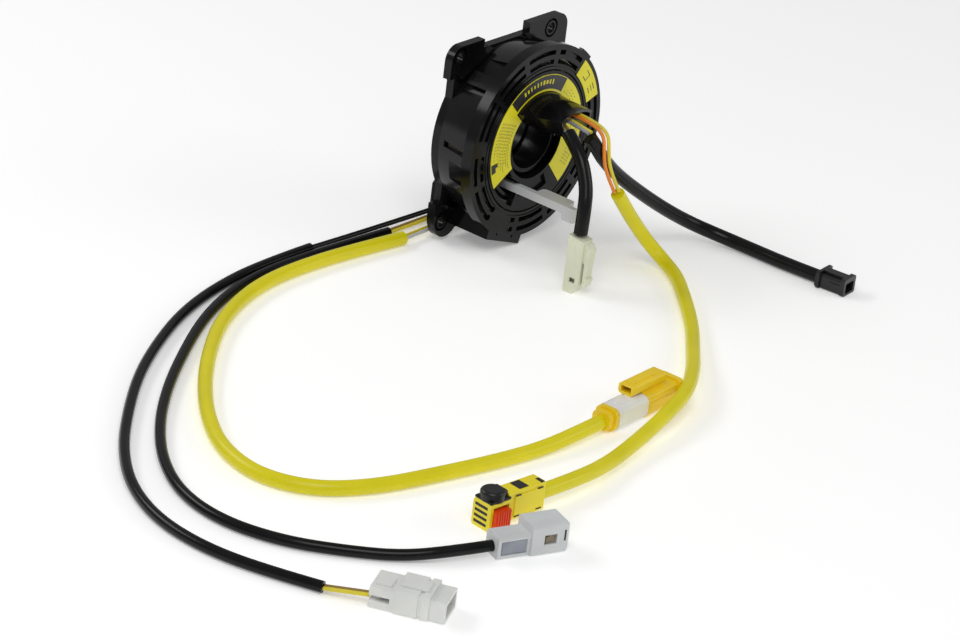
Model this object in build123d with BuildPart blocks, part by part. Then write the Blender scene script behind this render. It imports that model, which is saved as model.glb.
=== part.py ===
import os
from math import atan2, copysign, cos, degrees, pi, radians, sin, tan

from build123d import *

os.makedirs("parts", exist_ok=True)

# Steering clock spring: a stator drum on a four-eared flange, a rotor that turns in it, the flat
# ribbon wound between them, and the leads and plugs on both sides.
# Millimetres, +Z up. The drum's axis is Y and its face looks towards -Y. The origin is on that
# axis, in the plane of the flange's mounting face. A depth is a distance in front of that plane.

# Drum and flange
drum_radius = 49.2
drum_lean = 5.0
drum_wall = 6.3
rim_wall = 1.8
rim_depth = 6.0
flange_thickness = 4.5
flange_width = 76.0
flange_height = 90.0
flange_corner = 3.0
lug_floor_back = 2.4
hole_spacing_x = 70.0
hole_spacing_z = 87.0
hole_radius = 2.75
ear_width = 24.0
ear_height = 16.2
ear_corner = 7.6
ear_x = 29.3
ear_z = 41.2
right_ear_width = 30.5
right_ear_height = 20.8
right_ear_x = 32.8
right_ear_z = 39.4
corner_lobe_radius = 9.3
corner_lobe_x = -31.2
corner_lobe_z = -43.3
dish_radius = 5.0
dish_depth = 1.8
collar_radius = 3.8
gusset_length = 24.4
gusset_thickness = 1.7
gusset_depth = 8.2
gusset_tilt = 24.6
gusset_x = 25.1
gusset_z = 39.4

# Front cover with its slots
face_depth = 30.0
cover_thickness = 2.0
cover_bore_clearance = 0.8
skirt_length = 4.0
skirt_clearance = 0.2
skirt_wall = 0.6
slot_row_insets = (8.8, 4.0)
slot_width = 2.4
slot_span = 25.5
slot_pitch = 30.0
slot_first_angle = 81.0
slot_eye_radius = 1.5
groove_inset = 1.7
groove_width = 0.6
groove_depth = 0.5
nub_start = 45.0
nub_end = 56.0
nub_height = 1.3

# Pockets in the drum wall beside the four screws, start and end angle of each
screw_pockets = ((115.0, 141.0), (39.0, 65.0), (207.0, 231.0), (-63.0, -39.0))
pocket_depth = 4.0
pocket_wall = 1.8
pocket_front = 26.4

# Windows and shallow hollows in the drum's two flanks: start angle, end angle
flank_windows = ((175.0, 179.0), (1.0, 5.0))
flank_window_back = 8.0
flank_window_front = 23.0
flank_hollows = ((186.0, 199.0), (-19.0, -6.0))
flank_hollow_depth = 3.2
flank_hollow_front = 24.0

# Snap tabs of the cover, which reach into the two upper pockets
snap_angles = (133.0, 47.0)
snap_half_angle = 4.5
snap_seat_depth = 1.6
snap_tab_thickness = 1.3
snap_tab_length = 13.0
snap_window_half_angle = 1.9
snap_window_height = 3.6
snap_clearance = 0.2

# Lug of the drum that holds the stator's terminals
lug_angle = -109.5
lug_overhang = 3.4
lug_half_width = 14.0
lug_wall = 1.6
lug_window_half_width = 9.0
peg_hole_side = 1.2
peg_hole_inset = 3.3
peg_hole_offset = 6.5
peg_hole_depth = 1.0

# Rotor
disc_radius = 36.4
disc_thickness = 3.0
disc_hole_radius = 19.6
spool_radius = 31.0
spool_wall = 1.6
collar_wall = 1.6
collar_back = 18.0
web_thickness = 2.0
bore_radius = 13.6
bore_front_radius = 15.2
bore_step_depth = 12.0
tube_radius = 17.2
tube_front = 27.2
tube_back = -2.6
spool_end_gap = 0.5
running_gap = 0.3
neck_radius = 22.0
neck_front = 8.0
retainer_radius = 27.0
retainer_thickness = 3.0
retainer_fit = 0.05
retainer_notch_width = 6.0
pocket_start = 212.0
pocket_end = 246.0
pin_recess_start = 250.0
pin_recess_end = 296.0
pocket_floor_depth = 1.6
pocket_outer_radius = 34.4

# Cable horn on the rotor
horn_outer_radius = 25.8
horn_wall = 1.5
horn_floor_radius = 18.8
horn_floor_wall = 1.3
horn_start = 40.0
horn_end = 134.0
horn_mouth_depth = 52.9
horn_mouth_slope = 0.216
horn_floor_front = 49.5
horn_plug_depth = 6.0
horn_roof_end = 60.0
horn_roof_left = (-17.2, 24.4)
horn_roof_middle = (-0.7, 23.6)
horn_roof_right = (14.6, 20.6)
wire_window_start = 52.0
wire_window_end = 132.0

# Lock pin
pin_x = -10.2
pin_z = -22.8
pin_width = 3.0
pin_height = 4.2
pin_fit = 0.05
pin_back = 5.0
pin_front = 66.4
pin_wing_reach = 5.6
pin_wing_thickness = 1.8
pin_wing_back = 41.0
pin_wing_front = 61.0
pin_head_length = 7.0
pin_head_drop = 3.4
pin_notch_depth = 1.5
pin_notch_clearance = 0.4

# Ribbon
ribbon_thickness = 0.5
ribbon_width = 19.0
ribbon_inner_gap = 1.0
ribbon_outer_gap = 0.9
ribbon_half_turns = 9
ribbon_mid_depth = 16.0
ribbon_start_angle = -20.0

# Labels
label_thickness = 0.25
label_inner_radius = 20.0
label_outer_radius = 34.7
label_start = -51.0
label_end = 211.0
label_horn_clearance = 0.3
turn_label_inner_inset = 11.1
turn_label_outer_inset = 2.2
turn_label_start = 17.5
turn_label_end = 48.0

# Radii that follow from the drum and the disc
drum_back_radius = drum_radius - drum_lean
cavity_radius = drum_radius - drum_wall
rim_radius = drum_radius - rim_wall
pocket_wall_radius = drum_radius - pocket_depth
flank_hollow_radius = drum_radius - flank_hollow_depth
snap_root_radius = drum_radius - snap_seat_depth
lug_reach = drum_radius + lug_overhang
peg_hole_radius = lug_reach - peg_hole_inset
cover_radius = drum_radius + skirt_clearance + skirt_wall
cover_bore_radius = disc_radius + cover_bore_clearance
slot_row_radii = [cover_radius - inset for inset in slot_row_insets]
groove_radius = cover_bore_radius + groove_inset
turn_label_inner_radius = cover_radius - turn_label_inner_inset
turn_label_outer_radius = cover_radius - turn_label_outer_inset
ribbon_inner_radius = spool_radius + ribbon_inner_gap
ribbon_outer_radius = cavity_radius - ribbon_outer_gap
ribbon_pitch = 2 * (ribbon_outer_radius - ribbon_inner_radius) / (ribbon_half_turns - 1)

# Floor that the leads lie on: the lowest corner of the lug
floor_z = -(lug_reach * sin(radians(-lug_angle)) + lug_half_width * cos(radians(180 + lug_angle)))

# Lead outlet behind the flange
outlet_left = -12.0
outlet_width = 26.0
outlet_length = 22.0
outlet_top = -37.0
outlet_bottom_gap = 0.5
outlet_corner = 2.0
outlet_port_depth = 3.0

# Leads and wires
lead_diameter = 7.0
thin_lead_diameter = 5.2
wire_diameter = 1.8
fine_wire_diameter = 1.4
wire_spacing = 2.1
airbag_wire_spacing = 2.4
wire_gap = 0.35
wire_entry = 2.0
turning_limit = 67.0
turning_gap = 0.3


def front(depth):
    return Plane.XZ.offset(depth)


def ring_sector(inner, outer, start, end, mode=Mode.ADD):
    with BuildLine(Plane.XY) as rim:
        outer_arc = CenterArc((0, 0), outer, start, end - start)
        inner_arc = CenterArc((0, 0), inner, start, end - start)
        Line(outer_arc @ 0, inner_arc @ 0)
        Line(outer_arc @ 1, inner_arc @ 1)
    make_face(rim.edges(), mode=mode)


def radial_block(angle, inner, outer, half_width, offset=0.0, mode=Mode.ADD):
    middle = (inner + outer) / 2
    x = middle * cos(radians(angle)) - offset * sin(radians(angle))
    z = middle * sin(radians(angle)) + offset * cos(radians(angle))
    with Locations(Location((x, z, 0), (0, 0, angle))):
        Rectangle(outer - inner, 2 * half_width, mode=mode)


def ear(x, z, width, height, corner):
    """Ear of the flange: its outer corner is round and the other three are square."""
    with Locations((x, z)):
        RectangleRounded(width, height, corner)
    with Locations((x - copysign(corner / 2, x), z)):
        Rectangle(width - corner, height)
    with Locations((x, z - copysign(corner / 2, z))):
        Rectangle(width, height - corner)


def ring_section(inner, outer, back, front_end):
    with Locations(((inner + outer) / 2, -(back + front_end) / 2)):
        Rectangle(outer - inner, front_end - back)


def save(part, name):
    part.part.label = name
    export_step(part.part, f"parts/{name}.step")


# ---------------------------------------------------------------- stator

wall_front = face_depth - cover_thickness
neck_hole_radius = neck_radius + running_gap
snap_tab_radius = snap_root_radius + snap_clearance
snap_tab_back = wall_front - skirt_length - snap_tab_length
snap_window_back = snap_tab_back + snap_window_height / 2
pin_angle_box = (pin_width + 2 * pin_notch_clearance, pin_height + 2 * pin_notch_clearance)

with BuildPart() as stator_housing:
    with BuildSketch(front(0)):
        RectangleRounded(flange_width, flange_height, flange_corner)
        for level in (-1, 1):
            ear(-ear_x, level * ear_z, ear_width, ear_height, ear_corner)
            ear(right_ear_x, level * right_ear_z, right_ear_width, right_ear_height, ear_corner)
        with Locations((corner_lobe_x, corner_lobe_z)):
            Circle(corner_lobe_radius)
        Circle(drum_back_radius)
        Circle(neck_hole_radius, mode=Mode.SUBTRACT)
        with GridLocations(hole_spacing_x, hole_spacing_z, 2, 2):
            Circle(hole_radius, mode=Mode.SUBTRACT)
    extrude(amount=flange_thickness)
    # floor of the lug, which stands out past the flange
    with BuildSketch(front(lug_floor_back)):
        radial_block(lug_angle, cavity_radius, lug_reach, lug_half_width)
    extrude(amount=flange_thickness - lug_floor_back)
    # dished seats round the four holes
    with BuildSketch(front(flange_thickness)):
        with GridLocations(hole_spacing_x, hole_spacing_z, 2, 2):
            Circle(dish_radius)
            Circle(collar_radius, mode=Mode.SUBTRACT)
    extrude(amount=-dish_depth, mode=Mode.SUBTRACT)
    # drum wall, which leans outwards to the front, with a deep rim under the outer row of slots
    with BuildSketch(Plane.XY):
        with BuildLine():
            Polyline(
                (cavity_radius, -flange_thickness),
                (drum_back_radius, -flange_thickness),
                (drum_radius, -wall_front),
                (rim_radius, -wall_front),
                (rim_radius, -wall_front + rim_depth),
                (cavity_radius, -wall_front + rim_depth),
                close=True,
            )
        make_face()
    revolve(axis=Axis.Y)
    with BuildSketch(front(flange_thickness)):
        radial_block(lug_angle, cavity_radius, lug_reach, lug_half_width)
    extrude(amount=wall_front - flange_thickness)
    with BuildSketch(front(flange_thickness)):
        radial_block(lug_angle, cavity_radius + lug_wall, lug_reach - lug_wall, lug_half_width - lug_wall)
        radial_block(lug_angle, cavity_radius - lug_wall, lug_reach - lug_wall, lug_window_half_width)
    extrude(amount=wall_front - flange_thickness, mode=Mode.SUBTRACT)
    # pockets that leave room for the screws, each with its own roof in the rim
    with BuildSketch(front(wall_front - rim_depth)):
        for pocket_from, pocket_to in screw_pockets:
            edge = degrees(pocket_wall / drum_radius)
            ring_sector(cavity_radius, rim_radius + 0.5, pocket_from - edge, pocket_to + edge)
    extrude(amount=rim_depth)
    with BuildSketch(front(flange_thickness)):
        for pocket_from, pocket_to in screw_pockets:
            ring_sector(pocket_wall_radius, drum_radius + 1, pocket_from, pocket_to)
    extrude(amount=pocket_front - flange_thickness, mode=Mode.SUBTRACT)
    with BuildSketch(front(pocket_front - 0.5)):
        for snap_angle in snap_angles:
            room = snap_half_angle + 1
            ring_sector(snap_root_radius, drum_radius + 1, snap_angle - room, snap_angle + room)
    extrude(amount=wall_front - pocket_front + 0.5, mode=Mode.SUBTRACT)
    # barbs that the cover's snap tabs close over
    with BuildSketch(front(snap_window_back + snap_clearance)):
        for snap_angle in snap_angles:
            barb_half_angle = snap_window_half_angle - snap_clearance
            ring_sector(
                pocket_wall_radius - 0.5,
                snap_tab_radius + snap_tab_thickness,
                snap_angle - barb_half_angle,
                snap_angle + barb_half_angle,
            )
    extrude(amount=snap_window_height - 2 * snap_clearance)
    # windows and hollows in the flanks
    with BuildSketch(front(flank_window_back)):
        for window_from, window_to in flank_windows:
            ring_sector(cavity_radius - 1, drum_radius + 1, window_from, window_to)
    extrude(amount=flank_window_front - flank_window_back, mode=Mode.SUBTRACT)
    with BuildSketch(front(flange_thickness + 1)):
        for hollow_from, hollow_to in flank_hollows:
            ring_sector(flank_hollow_radius, drum_radius + 1, hollow_from, hollow_to)
    extrude(amount=flank_hollow_front - flange_thickness - 1, mode=Mode.SUBTRACT)
    # gussets that tie the drum wall to the ears
    with BuildSketch(front(flange_thickness - dish_depth)):
        for side in (-1, 1):
            for level in (-1, 1):
                with Locations(Location((side * gusset_x, level * gusset_z, 0), (0, 0, -side * level * gusset_tilt))):
                    Rectangle(gusset_length, gusset_thickness)
        Circle(cavity_radius, mode=Mode.SUBTRACT)
        radial_block(
            lug_angle, cavity_radius, lug_reach - lug_wall, lug_half_width - lug_wall, mode=Mode.SUBTRACT
        )
    extrude(amount=gusset_depth - flange_thickness + dish_depth)
    # notch that takes the lock pin's tip
    with BuildSketch(front(flange_thickness)):
        with Locations((pin_x, pin_z)):
            Rectangle(*pin_angle_box)
    extrude(amount=-pin_notch_depth, mode=Mode.SUBTRACT)
save(stator_housing, "stator_housing")

with BuildPart() as front_cover:
    with BuildSketch(front(wall_front)):
        Circle(cover_radius)
        radial_block(lug_angle, cover_bore_radius, lug_reach, lug_half_width)
        ring_sector(cover_bore_radius + 1, cover_radius + nub_height, nub_start, nub_end)
        Circle(cover_bore_radius, mode=Mode.SUBTRACT)
        for row_radius in slot_row_radii:
            inner = row_radius - slot_width / 2
            outer = row_radius + slot_width / 2
            for step in range(12):
                start = slot_first_angle + step * slot_pitch
                end = start + slot_span
                if step == 3:
                    start = start + slot_span / 4
                if step == 5:
                    start = end - slot_span / 5
                ring_sector(inner, outer, start, end, mode=Mode.SUBTRACT)
                if step in (4, 10):
                    with PolarLocations(row_radius - slot_width / 4, 1, start_angle=end):
                        Circle(slot_eye_radius, mode=Mode.SUBTRACT)
    extrude(amount=cover_thickness)
    # skirt round the drum wall, open where the lug stands
    with BuildSketch(front(wall_front)):
        Circle(cover_radius)
        Circle(drum_radius + skirt_clearance, mode=Mode.SUBTRACT)
        radial_block(
            lug_angle, cavity_radius, lug_reach + 2, lug_half_width + skirt_clearance, mode=Mode.SUBTRACT
        )
    extrude(amount=-skirt_length)
    # snap tabs with their windows
    with BuildSketch(front(snap_tab_back)):
        for snap_angle in snap_angles:
            ring_sector(
                snap_tab_radius,
                snap_tab_radius + snap_tab_thickness,
                snap_angle - snap_half_angle,
                snap_angle + snap_half_angle,
            )
    extrude(amount=wall_front - snap_tab_back)
    with BuildSketch(front(snap_window_back)):
        for snap_angle in snap_angles:
            ring_sector(
                snap_tab_radius - 0.1,
                snap_tab_radius + snap_tab_thickness + 0.5,
                snap_angle - snap_window_half_angle,
                snap_angle + snap_window_half_angle,
            )
    extrude(amount=snap_window_height, mode=Mode.SUBTRACT)
    # shallow groove inside the slots, and the peg holes in the lug's face
    with BuildSketch(front(face_depth)):
        Circle(groove_radius + groove_width / 2)
        Circle(groove_radius - groove_width / 2, mode=Mode.SUBTRACT)
    extrude(amount=-groove_depth, mode=Mode.SUBTRACT)
    with BuildSketch(front(face_depth)):
        for offset in (-peg_hole_offset, peg_hole_offset):
            half = peg_hole_side / 2
            radial_block(lug_angle, peg_hole_radius - half, peg_hole_radius + half, half, offset)
    extrude(amount=-peg_hole_depth, mode=Mode.SUBTRACT)
save(front_cover, "front_cover")

with BuildPart() as turn_label:
    with BuildSketch(front(face_depth)):
        ring_sector(turn_label_inner_radius, turn_label_outer_radius, turn_label_start, turn_label_end)
    extrude(amount=label_thickness)
save(turn_label, "turn_label")

terminal_fit = 0.15
terminal_half_width = lug_window_half_width - 1.0
terminal_inner = cavity_radius - 0.6
terminal_back = flange_thickness
terminal_front = wall_front - 2.0
with BuildPart() as stator_terminal_block:
    with BuildSketch(front(terminal_back)):
        radial_block(lug_angle, terminal_inner, lug_reach - lug_wall - terminal_fit, terminal_half_width)
    extrude(amount=terminal_front - terminal_back)
    # one slot for each conductor of the ribbon
    with BuildSketch(front(terminal_front)):
        for step in range(5):
            offset = (step - 2) * terminal_half_width * 2 / 5.5
            radial_block(lug_angle, terminal_inner - 1, terminal_inner + 1.6, 0.8, offset)
    extrude(amount=-(terminal_front - terminal_back - 3), mode=Mode.SUBTRACT)
save(stator_terminal_block, "stator_terminal_block")

# The ribbon is a spiral of half turns, whose centres alternate between the axis and half a pitch off it.
with BuildPart() as ribbon_cable:
    with BuildLine(front(ribbon_mid_depth)) as ribbon_path:
        for step in range(ribbon_half_turns):
            radius = ribbon_inner_radius + step * ribbon_pitch / 2
            shift = 0.0 if step % 2 == 0 else ribbon_pitch / 2
            centre = (shift * cos(radians(ribbon_start_angle)), shift * sin(radians(ribbon_start_angle)))
            CenterArc(centre, radius, ribbon_start_angle + 180.0 * step, 180.0)
    with BuildSketch(Plane(origin=ribbon_path.line @ 0, z_dir=ribbon_path.line % 0, x_dir=(0, 1, 0))):
        Rectangle(ribbon_width, ribbon_thickness)
    sweep()
save(ribbon_cable, "ribbon_cable")

outlet_bottom = floor_z + outlet_bottom_gap
outlet_height = outlet_top - outlet_bottom
outlet_middle = outlet_left + outlet_width / 2

# Depth behind the flange at which each stator lead leaves the outlet's left wall, and its height
yellow_exit_y = 5.0
inner_exit_y = 13.0
outer_exit_y = 18.2
exit_z = floor_z + lead_diameter / 2

with BuildPart() as lead_outlet:
    with BuildSketch(Plane.XZ):
        with Locations((outlet_middle, outlet_bottom + outlet_height / 2)):
            RectangleRounded(outlet_width, outlet_height, outlet_corner)
    extrude(amount=-outlet_length)
    # ports for the three pairs of wires
    with BuildSketch(Plane.YZ.offset(outlet_left)):
        for port_y in (yellow_exit_y, inner_exit_y, outer_exit_y):
            with Locations((port_y, exit_z)):
                RectangleRounded(wire_spacing + wire_diameter + 0.3, wire_diameter + 0.6, 0.9)
    extrude(amount=outlet_port_depth, mode=Mode.SUBTRACT)
    # rib along the top and the back cap's joint line
    with BuildSketch(Plane.XZ.offset(-outlet_length + 0.6)):
        with Locations((outlet_middle, outlet_bottom + outlet_height / 2)):
            RectangleRounded(outlet_width + 1.2, outlet_height + 1.0, outlet_corner)
    extrude(amount=1.0)
save(lead_outlet, "lead_outlet")

# ---------------------------------------------------------------- rotor

disc_back = face_depth - disc_thickness
spool_back = flange_thickness + spool_end_gap
groove_floor = collar_back + web_thickness

with BuildPart() as rotor:
    with BuildSketch(Plane.XY):
        ring_section(disc_hole_radius, disc_radius, disc_back, face_depth)
        ring_section(spool_radius - spool_wall, spool_radius, spool_back, face_depth - 1)
        ring_section(disc_hole_radius, disc_hole_radius + collar_wall, collar_back, face_depth - 1)
        ring_section(bore_front_radius, disc_hole_radius + collar_wall, collar_back, groove_floor)
        ring_section(bore_front_radius, tube_radius, bore_step_depth - 1, tube_front)
        ring_section(bore_radius, tube_radius, tube_back, bore_step_depth)
    revolve(axis=Axis.Y)
    # pocket beside the lock pin and the recess that the pin stands in
    with BuildSketch(front(face_depth)):
        ring_sector(disc_hole_radius + collar_wall + 0.8, pocket_outer_radius, pocket_start, pocket_end)
    extrude(amount=-pocket_floor_depth, mode=Mode.SUBTRACT)
    with BuildSketch(front(face_depth)):
        ring_sector(
            disc_hole_radius + collar_wall + 0.8, pocket_outer_radius - 1.2, pocket_start + 2, pocket_end - 1
        )
    extrude(amount=-disc_thickness, mode=Mode.SUBTRACT)
    with BuildSketch(front(face_depth)):
        ring_sector(
            disc_hole_radius + collar_wall + 0.4, spool_radius - spool_wall - 0.8, pin_recess_start, pin_recess_end
        )
    extrude(amount=-pocket_floor_depth, mode=Mode.SUBTRACT)
    # slot that guides the lock pin
    with BuildSketch(front(face_depth)):
        with Locations((pin_x, pin_z)):
            Rectangle(pin_width + 2 * pin_fit, pin_height + 2 * pin_fit)
    extrude(amount=-disc_thickness, mode=Mode.SUBTRACT)
    # window through which the wires come up into the horn
    with BuildSketch(front(face_depth)):
        ring_sector(
            disc_hole_radius + collar_wall, horn_outer_radius - horn_wall - 0.3, wire_window_start, wire_window_end
        )
    extrude(amount=-disc_thickness, mode=Mode.SUBTRACT)
save(rotor, "rotor")

with BuildPart() as rotor_retainer:
    retainer_front = -running_gap
    with BuildSketch(Plane.XY):
        ring_section(tube_radius + retainer_fit, retainer_radius, retainer_front - retainer_thickness, retainer_front)
        ring_section(tube_radius + retainer_fit, neck_radius, retainer_front - 1, neck_front)
    revolve(axis=Axis.Y)
    with BuildSketch(front(retainer_front)):
        with PolarLocations(retainer_radius, 4, start_angle=45):
            Rectangle(retainer_notch_width / 2, retainer_notch_width)
    extrude(amount=-retainer_thickness, mode=Mode.SUBTRACT)
save(rotor_retainer, "rotor_retainer")

def horn_base(inner, outer, start, end):
    with BuildSketch(front(face_depth)) as outline:
        ring_sector(inner, outer, start, end)
    return outline.sketch


def horn_roof(inner, start, end, inset):
    with BuildSketch(front(horn_roof_end)) as outline:
        with BuildLine() as rim:
            left = (horn_roof_left[0] + inset, horn_roof_left[1] - inset)
            middle = (horn_roof_middle[0], horn_roof_middle[1] - inset)
            right = (horn_roof_right[0] - inset, horn_roof_right[1] - inset)
            roof = ThreePointArc(right, middle, left)
            floor = CenterArc((0, 0), inner, start, end - start)
            Line(roof @ 0, floor @ 0)
            Line(roof @ 1, floor @ 1)
        make_face(rim.edges())
    return outline.sketch


with BuildPart() as cable_horn:
    horn_inner = horn_outer_radius - horn_wall
    floor_inner = horn_floor_radius - horn_floor_wall
    end_wall_angle = horn_wall / horn_floor_radius * 180 / pi
    hollow_start = horn_start + end_wall_angle
    hollow_end = horn_end - end_wall_angle
    # hood: an arc at the disc, which opens to a nearly flat roof at the mouth
    loft(
        [
            horn_base(floor_inner, horn_outer_radius, horn_start, horn_end),
            horn_roof(floor_inner, horn_start, horn_end, 0),
        ]
    )
    # the hollow that the wires run through
    loft(
        [
            horn_base(horn_floor_radius, horn_inner, hollow_start, hollow_end),
            horn_roof(horn_floor_radius, hollow_start, hollow_end, horn_wall),
        ],
        mode=Mode.SUBTRACT,
    )
    # slanted mouth, and the floor cut back from it
    mouth = Plane(origin=(0, -horn_mouth_depth, 0), z_dir=(horn_mouth_slope, -1, 0))
    split(bisect_by=mouth, keep=Keep.BOTTOM)
    with BuildSketch(front(horn_floor_front)):
        ring_sector(floor_inner - 1, horn_floor_radius + 0.4, horn_start - 5, horn_end + 5)
    extrude(amount=20, mode=Mode.SUBTRACT)
    # tongue that plugs into the groove round the rotor's tube
    with BuildSketch(front(face_depth)):
        ring_sector(floor_inner, horn_floor_radius, horn_start + 6, horn_end - 6)
    extrude(amount=-horn_plug_depth)
save(cable_horn, "cable_horn")

rotor_terminal_fit = 0.1
rotor_terminal_back = 14.0
with BuildPart() as rotor_terminal_block:
    with BuildSketch(front(rotor_terminal_back)):
        ring_sector(
            disc_hole_radius + collar_wall + rotor_terminal_fit,
            spool_radius - spool_wall - rotor_terminal_fit,
            wire_window_start,
            wire_window_end,
        )
    extrude(amount=disc_back - rotor_terminal_back)
save(rotor_terminal_block, "rotor_terminal_block")

with BuildPart() as rotor_label:
    with BuildSketch(front(face_depth)):
        ring_sector(label_inner_radius, label_outer_radius, label_start, label_end)
        ring_sector(
            label_inner_radius - 1,
            horn_outer_radius + label_horn_clearance,
            horn_start - 2,
            horn_end + 1,
            mode=Mode.SUBTRACT,
        )
    extrude(amount=label_thickness)
save(rotor_label, "rotor_label")

pin_bar_right = pin_x + pin_width / 2
pin_bar_bottom = pin_z - pin_height / 2
with BuildPart() as lock_pin:
    with BuildSketch(front(pin_back)):
        with Locations((pin_x, pin_z)):
            Rectangle(pin_width, pin_height)
    extrude(amount=pin_front - pin_back)
    with BuildSketch(front(pin_wing_back)):
        with Locations((pin_bar_right + pin_wing_reach / 2 - 0.5, pin_z + pin_height / 2 - pin_wing_thickness / 2)):
            Rectangle(pin_wing_reach + 1, pin_wing_thickness)
    extrude(amount=pin_wing_front - pin_wing_back)
    fillet(lock_pin.edges().filter_by(Axis.Z).group_by(Axis.X)[-1], radius=2.2)
    with BuildSketch(front(pin_front - pin_head_length)):
        with Locations((pin_x, pin_bar_bottom - pin_head_drop / 2 + 0.5)):
            Rectangle(pin_width, pin_head_drop + 1)
    extrude(amount=pin_head_length)
save(lock_pin, "lock_pin")

# ---------------------------------------------------------------- leads

def corner_radii(points):
    radii = []
    for before, here, after in zip(points, points[1:], points[2:]):
        run_in = Vector(here) - Vector(before)
        run_out = Vector(after) - Vector(here)
        turn = radians(run_in.get_angle(run_out))
        radii.append(0.45 * min(run_in.length, run_out.length) / tan(turn / 2))
    return radii


def build_lead(name, points, diameter, keep_behind=None, keep_ahead=None):
    radii = corner_radii(points)
    with BuildPart() as lead:
        with BuildLine() as route:
            if radii:
                FilletPolyline(*points, radius=radii)
            else:
                Line(*points)
        with BuildSketch(Plane(origin=route.line @ 0, z_dir=route.line % 0)):
            Circle(diameter / 2)
        sweep()
        if keep_behind is not None:
            split(bisect_by=front(keep_behind), keep=Keep.BOTTOM)
        if keep_ahead is not None:
            split(bisect_by=front(keep_ahead), keep=Keep.TOP)
    length = sum(edge.length for edge in route.edges())
    ideal = length * pi * diameter**2 / 4
    tightest = min(radii) if radii else 0
    print(
        f"{name}: length {length:.0f} mm, tightest {tightest:.0f} mm, radii {[round(r) for r in radii]},"
        f" volume {lead.part.volume / ideal:.3f} of ideal"
    )
    save(lead, name)


def beside(points, direction, distance):
    """The same route moved sideways."""
    step = Vector(direction).normalized() * distance
    return [tuple(Vector(point) + step) for point in points]


def towards(here, there, distance):
    """A point beside one end of a run, moved along the run."""
    step = (Vector(there) - Vector(here)).normalized() * distance
    return tuple(Vector(here) + step)


def heading_of(points):
    """Direction of a route's last run on the floor, in degrees from +X."""
    return degrees(atan2(points[-1][1] - points[-2][1], points[-1][0] - points[-2][0]))


lead_z = floor_z + lead_diameter / 2
thin_lead_z = floor_z + thin_lead_diameter / 2
root_start = turning_limit + turning_gap
wire_root_depth = disc_back + 0.8

# Short black lead of the rotor: two wires in the horn, then the sleeve down to its plug
short_lead_points = [
    (-12.2, -57.8, 16.9),
    (-15.9, -69.0, 11.1),
    (-19.0, -77.5, -2.0),
    (-23.6, -81.4, -12.5),
    (-25.0, -82.0, -24.0),
]
short_wire_points = [
    (-9.9, -wire_root_depth, 20.2),
    (-9.9, -41.0, 20.1),
    (-10.0, -50.5, 19.6),
    towards(short_lead_points[0], short_lead_points[1], -2 * wire_gap),
]
for name, side in (("short_wire_left", -0.5), ("short_wire_right", 0.5)):
    build_lead(name, beside(short_wire_points, (0.82, 0, 0.57), side * wire_spacing), wire_diameter)
build_lead("short_lead_root", short_lead_points, lead_diameter, keep_behind=turning_limit)
build_lead("short_lead", short_lead_points, lead_diameter, keep_ahead=root_start)

# Long black lead of the rotor: two wires in the horn, then the sleeve down to the floor and its plug
switch_wire_points = [
    (-4.8, -wire_root_depth, 21.95),
    (-4.6, -48.0, 20.6),
    (-7.0, -turning_limit, 19.0),
]
for name, side in (("switch_wire_grey", -0.5), ("switch_wire_yellow", 0.5)):
    build_lead(name, beside(switch_wire_points, (1, 0, 0), side * wire_spacing), wire_diameter)
switch_lead_points = [
    (-7.6, -65.6, 20.2),
    (-4.6, -69.4, 12.6),
    (1.6, -71.0, 3.8),
    (14.0, -71.5, -7.0),
    (31.0, -73.0, -19.4),
    (51.0, -76.0, -33.0),
    (69.0, -80.5, -44.0),
    (80.0, -94.0, lead_z + 1.0),
    (82.0, -114.0, lead_z),
    (82.0, -134.0, lead_z),
    (83.5, -152.0, lead_z),
]
build_lead("switch_lead", switch_lead_points, lead_diameter, keep_ahead=root_start)

# Yellow lead of the rotor: two wires out of the horn, then the sleeve along the floor to the squib plug
airbag_wire_points = [
    (3.2, -wire_root_depth, 22.3),
    (3.3, -35.0, 21.9),
    (3.4, -46.0, 20.5),
    (3.2, -61.5, 20.6),
    (0.4, -71.5, 19.2),
    (-3.0, -75.2, 11.5),
    (-3.6, -77.3, 2.5),
    (3.0, -80.0, -10.0),
]
airbag_wire_side = (0.85, -0.5, 0.15)
for name, side in (("airbag_wire_orange", -0.5), ("airbag_wire_yellow", 0.5)):
    route_points = beside(airbag_wire_points, airbag_wire_side, side * airbag_wire_spacing)
    build_lead(f"{name}_root", route_points, wire_diameter, keep_behind=turning_limit)
    build_lead(name, route_points, wire_diameter, keep_ahead=root_start)
airbag_lead_points = [
    (3.8, -80.1, -11.0),
    (12.0, -80.8, -21.5),
    (21.0, -82.0, -32.5),
    (29.0, -85.5, -43.0),
    (31.0, -94.0, -49.4),
    (24.0, -107.5, lead_z + 0.2),
    (11.0, -121.5, lead_z),
    (-4.0, -136.5, lead_z),
    (-20.0, -151.0, lead_z + 0.3),
    (-39.0, -165.5, lead_z + 1.5),
    (-61.0, -182.0, lead_z + 4.5),
    (-85.0, -196.4, lead_z + 6.0),
    (-111.0, -203.5, lead_z + 4.5),
    (-136.0, -208.0, lead_z + 2.0),
    (-162.0, -212.5, lead_z + 1.0),
    (-189.0, -216.5, lead_z + 4.0),
    (-215.0, -213.6, lead_z + 4.0),
]
build_lead("airbag_lead", airbag_lead_points, lead_diameter)

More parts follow.
